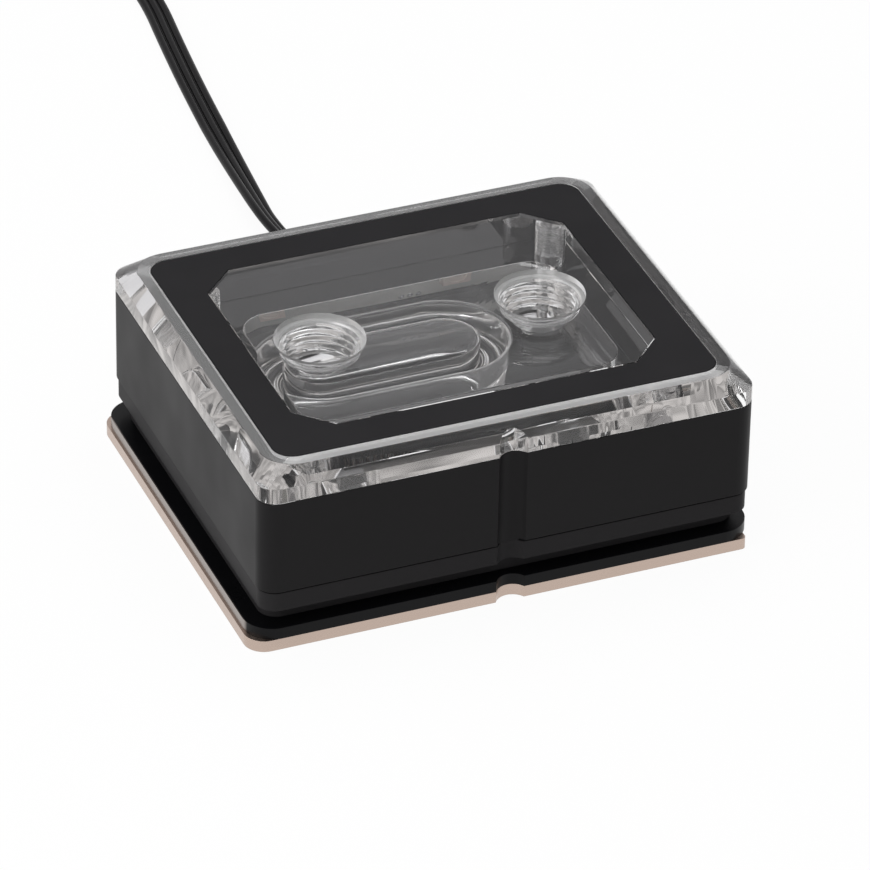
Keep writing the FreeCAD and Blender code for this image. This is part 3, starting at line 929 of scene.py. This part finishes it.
def lead_points():
    """Control points of the lead: out of the housing, along the table, the coil and its tail.

    In the coil and the tail they stand where the tangents of the bend meet, at its radius
    divided by the cosine of half a step, so that the curve between them keeps the radius.
    """
    table_z = 0.76
    route = [
        (7.0, 31.4, 14.5),
        (7.0, 36.8, 14.5),
        (7.0, 46.1, 14.5),
        (6.2, 60.0, 1.2),
        (5.0, 70.7, 2.2),
        (3.6, 82.5, 2.2),
        (4.4, 94.0, 1.8),
        (6.0, 112.0, 1.0),
        (8.1, 133.0, table_z),
        (10.1, 150.0, table_z),
        (11.9, 163.5, table_z),
        (11.9, 176.0, table_z),
        (11.9, 188.0, table_z),
    ]
    # the coil winds inwards by one pitch a turn, a quarter more than two turns
    middle_x, middle_y, outer, pitch, turns = 41.2, 193.0, 29.3, 4.7, 2.25
    steps = 27
    step = 360 * turns / steps
    for k in range(1, steps + 1):
        done = (k - 0.5) * step
        radius = (outer - pitch * done / 360) / math.cos(math.radians(step / 2))
        turn = math.radians(180 - done)
        route.append(
            (middle_x + radius * math.cos(turn), middle_y + radius * math.sin(turn), table_z)
        )
    # the tail turns back through the middle, at a radius of 9.4
    tail = 9.4
    top_y = middle_y + outer - pitch * turns
    for k in range(1, 7):
        turn = math.radians(90 - (k - 0.5) * 30)
        radius = tail / math.cos(math.radians(15))
        route.append(
            (middle_x + radius * math.cos(turn), top_y - tail + radius * math.sin(turn), table_z)
        )
    end_y = top_y - 2 * tail
    route += [(middle_x - 1.5, end_y, 1.1), (34.2, end_y, 1.3), (31.5, end_y, 1.3)]
    return np.array(route) * MM


class ColdPlateAddLead(bpy.types.Operator):
    """Add the flat lead of three wires along its route, with its coil"""

    bl_idname = "cold_plate.add_lead"
    bl_label = "Add lead"

    def execute(self, context):
        s = context.scene.cold_plate_lead
        route = self.centreline(lead_points())
        lead = self.ribbon(route, s)
        smooth(lead, 50)
        lead.data.materials.append(
            satin_material("black wire sheath", "0b0a0b", 0.33, 0.14, 0.5, 0.006, 0.02)
        )
        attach(lead, "root")
        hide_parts("led_cable", "cable_coil")
        return {"FINISHED"}

    def centreline(self, points):
        """Points of the smooth curve that the route's control points pull along."""
        curve = bpy.data.curves.new("lead route", "CURVE")
        curve.dimensions = "3D"
        spline = curve.splines.new("NURBS")
        spline.points.add(len(points) - 1)
        for point, place in zip(spline.points, points):
            point.co = (*place, 1.0)
        spline.order_u = 3
        spline.use_endpoint_u = True
        spline.resolution_u = 10
        obj = bpy.data.objects.new("lead route", curve)
        bpy.context.scene.collection.objects.link(obj)
        ready = obj.evaluated_get(bpy.context.evaluated_depsgraph_get())
        mesh = bpy.data.meshes.new_from_object(ready)
        line = np.array([v.co for v in mesh.vertices])
        bpy.data.objects.remove(obj)
        bpy.data.meshes.remove(mesh)
        bpy.data.curves.remove(curve)
        keep = np.concatenate([[True], np.linalg.norm(np.diff(line, axis=0), axis=1) > 1e-5])
        return line[keep]

    def section(self, s, steps=12):
        """Outline of three round wires whose sheaths are joined by narrow webs.

        It is four arcs of radius r, about (p, 0), (0, 0), (-p, 0) and (0, 0), which end where
        the wire is as thick as half a web.
        """
        r, p, web = s.wire_diameter / 2, s.wire_pitch, 0.25 * MM
        lean = math.asin(web / r)
        right = np.linspace(-math.pi + lean, math.pi - lean, 2 * steps)
        top = np.linspace(lean, math.pi - lean, steps)
        parts = [
            np.column_stack([p + r * np.cos(right), r * np.sin(right)]),
            np.column_stack([r * np.cos(top), r * np.sin(top)]),
            np.column_stack([-p - r * np.cos(right), -r * np.sin(right)]),
            np.column_stack([-r * np.cos(top), -r * np.sin(top)]),
        ]
        return np.vstack(parts)

    def ribbon(self, line, s):
        """The section carried along the line.

        Its width lies along across * cos(lean) + up * sin(lean), where across is level and
        square to the line, and up is square to both.
        """
        along = np.gradient(line, axis=0)
        along /= np.linalg.norm(along, axis=1)[:, None]
        across = np.cross(along, [0, 0, 1.0])
        across /= np.linalg.norm(across, axis=1)[:, None]
        up = np.cross(across, along)
        # it leans over from Y = 58 to 74 mm and comes level again from 86 to 118 mm
        over = np.interp(line[:, 1], np.array([58, 74]) * MM, [0, 1])
        level = np.interp(line[:, 1], np.array([86, 118]) * MM, [1, 0])
        lean = s.twist * over * level
        c, k = np.cos(lean)[:, None], np.sin(lean)[:, None]
        wide, high = across * c + up * k, up * c - across * k
        outline = self.section(s)
        rings = (
            line[:, None, :]
            + wide[:, None, :] * outline[None, :, :1]
            + high[:, None, :] * outline[None, :, 1:]
        )
        return stacked_rings("lead", rings[::-1], [])


class ColdPlateDressNodes(bpy.types.Operator):
    """Give each CAD piece that stays shown its finish"""

    bl_idname = "cold_plate.dress_nodes"
    bl_label = "Dress CAD pieces"

    def execute(self, context):
        for name, material in node_finishes(context.scene.cold_plate_finish).items():
            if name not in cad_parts:
                raise RuntimeError(f"the model has no piece named {name}")
            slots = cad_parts[name].data.materials
            slots.clear()
            slots.append(material)
        return {"FINISHED"}


# Stage


class ColdPlateAddStage(bpy.types.Operator):
    """Add the camera, the lamps, the world and the floor of the photograph"""

    bl_idname = "cold_plate.add_stage"
    bl_label = "Add stage"

    def execute(self, context):
        s = context.scene.cold_plate_stage
        scene = context.scene
        scene.view_settings.view_transform = "Standard"
        self.add_camera(scene, s)
        middle = (0, 0, 0.02)
        self.add_lamp("left softbox", (-0.62, -0.12, 0.34), middle, 0.55, s.left_power)
        self.add_lamp("top softbox", (0.1, 0.12, 0.7), middle, 0.6, s.top_power)
        self.set_world(scene, s)
        self.add_floor()
        return {"FINISHED"}

    def add_camera(self, scene, s):
        """Camera where the photograph's straight edges put it, about a metre away."""
        data = bpy.data.cameras.new("photo camera")
        data.sensor_width = 36.0
        data.lens = s.focal_length
        data.clip_start, data.clip_end = 0.05, 20.0
        camera = bpy.data.objects.new("photo camera", data)
        camera.location = Vector((-340.706, -820.936, 592.675)) * MM
        camera.rotation_euler = [math.radians(a) for a in (56.7346, -0.95345, -21.98497)]
        scene.collection.objects.link(camera)
        scene.camera = camera

    def add_lamp(self, name, place, aim, size, power):
        """Square soft lamp that faces a point."""
        data = bpy.data.lights.new(name, "AREA")
        data.shape = "SQUARE"
        data.size = size
        data.energy = power
        lamp = bpy.data.objects.new(name, data)
        lamp.location = place
        lamp.rotation_euler = (Vector(place) - Vector(aim)).to_track_quat("Z", "Y").to_euler()
        bpy.context.scene.collection.objects.link(lamp)

    def seen_straight(self, tree):
        """1 for rays from the camera, off a polished face or through a clear piece."""
        path = add_node(tree, "ShaderNodeLightPath")
        both = add_node(
            tree,
            "ShaderNodeMath",
            (),
            {0: path.outputs["Is Camera Ray"], 1: path.outputs["Is Glossy Ray"]},
            operation="MAXIMUM",
        )
        every = add_node(
            tree,
            "ShaderNodeMath",
            (),
            {0: both.outputs[0], 1: path.outputs["Is Transmission Ray"]},
            operation="MAXIMUM",
        )
        return every.outputs[0]

    def set_world(self, scene, s):
        """Plain white light from all round, the white backdrop, and the room that is mirrored."""
        world = bpy.data.worlds.new("studio")
        world.use_nodes = True
        tree = world.node_tree
        tree.nodes.clear()
        light = add_node(
            tree, "ShaderNodeBackground", {"Color": srgb("ffffff"), "Strength": s.world_level}
        )
        white = add_node(
            tree, "ShaderNodeBackground", {"Color": srgb("ffffff"), "Strength": 1.0}
        )
        # what a polished face shows of the room: paler at the table's height than above it
        toward = add_node(tree, "ShaderNodeTexCoord").outputs["Generated"]
        height = add_node(tree, "ShaderNodeSeparateXYZ", (), {0: toward}).outputs["Z"]
        room = add_node(
            tree,
            "ShaderNodeMapRange",
            {"From Min": 0.05, "From Max": 0.4, "To Min": 1.0, "To Max": 0.7},
            {"Value": height},
        )
        mirrored = add_node(
            tree, "ShaderNodeBackground", {"Color": srgb("fcfbfd")}, {"Strength": room.outputs[0]}
        )
        path = add_node(tree, "ShaderNodeLightPath")
        shown = add_node(
            tree,
            "ShaderNodeMixShader",
            (),
            {0: path.outputs["Is Camera Ray"], 1: mirrored.outputs[0], 2: white.outputs[0]},
        )
        mix = add_node(
            tree,
            "ShaderNodeMixShader",
            (),
            {0: self.seen_straight(tree), 1: light.outputs[0], 2: shown.outputs[0]},
        )
        output = add_node(tree, "ShaderNodeOutputWorld")
        tree.links.new(mix.outputs[0], output.inputs["Surface"])
        scene.world = world

    def add_floor(self):
        """White table. Seen straight it is mostly its own white, and keeps a faint shadow."""
        half, z, own_white = 4.0, -0.05 * MM, 0.94
        material, tree, output = blank_material("white table")
        paint = add_node(tree, "ShaderNodeBsdfDiffuse", {"Color": srgb("f4f4f4")})
        white = add_node(
            tree, "ShaderNodeEmission", {"Color": srgb("ffffff"), "Strength": 1.0}
        )
        shown = add_node(
            tree, "ShaderNodeMixShader", {0: own_white}, {1: paint.outputs[0], 2: white.outputs[0]}
        )
        mix = add_node(
            tree,
            "ShaderNodeMixShader",
            (),
            {0: self.seen_straight(tree), 1: paint.outputs[0], 2: shown.outputs[0]},
        )
        tree.links.new(mix.outputs[0], output.inputs["Surface"])
        points = [(-half, -half, z), (half, -half, z), (half, half, z), (-half, half, z)]
        floor = mesh_object("table", points, [(0, 1, 2, 3)], [material])


# Panel and registration


class ColdPlatePanel(bpy.types.Panel):
    """Buttons for the pieces and the stage, with their settings"""

    bl_idname = "VIEW3D_PT_cold_plate"
    bl_label = "Cold plate"
    bl_space_type = "VIEW_3D"
    bl_region_type = "UI"
    bl_category = "Cold plate"

    def draw(self, context):
        layout = self.layout
        scene = context.scene
        for settings, names, action in (
            (
                scene.cold_plate_block,
                ("air_gap", "thread_depth", "thread_pitch", "mill_radius", "screw_pitch"),
                "cold_plate.add_block",
            ),
            (
                scene.cold_plate_lead,
                ("wire_diameter", "wire_pitch", "twist"),
                "cold_plate.add_lead",
            ),
            (
                scene.cold_plate_finish,
                ("plating", "lower_frame", "housing", "trim"),
                "cold_plate.dress_nodes",
            ),
            (
                scene.cold_plate_stage,
                ("world_level", "left_power", "top_power", "focal_length"),
                "cold_plate.add_stage",
            ),
        ):
            box = layout.box()
            for name in names:
                box.prop(settings, name)
            box.operator(action)


CLASSES = (
    ColdPlateBlockSettings,
    ColdPlateLeadSettings,
    ColdPlateFinishSettings,
    ColdPlateStageSettings,
    ColdPlateAddBlock,
    ColdPlateAddLead,
    ColdPlateDressNodes,
    ColdPlateAddStage,
    ColdPlatePanel,
)


def register():
    for cls in CLASSES:
        bpy.utils.register_class(cls)
    bpy.types.Scene.cold_plate_block = bpy.props.PointerProperty(type=ColdPlateBlockSettings)
    bpy.types.Scene.cold_plate_lead = bpy.props.PointerProperty(type=ColdPlateLeadSettings)
    bpy.types.Scene.cold_plate_finish = bpy.props.PointerProperty(type=ColdPlateFinishSettings)
    bpy.types.Scene.cold_plate_stage = bpy.props.PointerProperty(type=ColdPlateStageSettings)


def unregister():
    del bpy.types.Scene.cold_plate_stage
    del bpy.types.Scene.cold_plate_finish
    del bpy.types.Scene.cold_plate_lead
    del bpy.types.Scene.cold_plate_block
    for cls in reversed(CLASSES):
        bpy.utils.unregister_class(cls)


def main():
    """Adds every piece."""
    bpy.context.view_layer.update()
    register()
    bpy.ops.cold_plate.dress_nodes()
    bpy.ops.cold_plate.add_block()
    bpy.ops.cold_plate.add_lead()
    bpy.ops.cold_plate.add_stage()


if __name__ == "__main__":
    main()
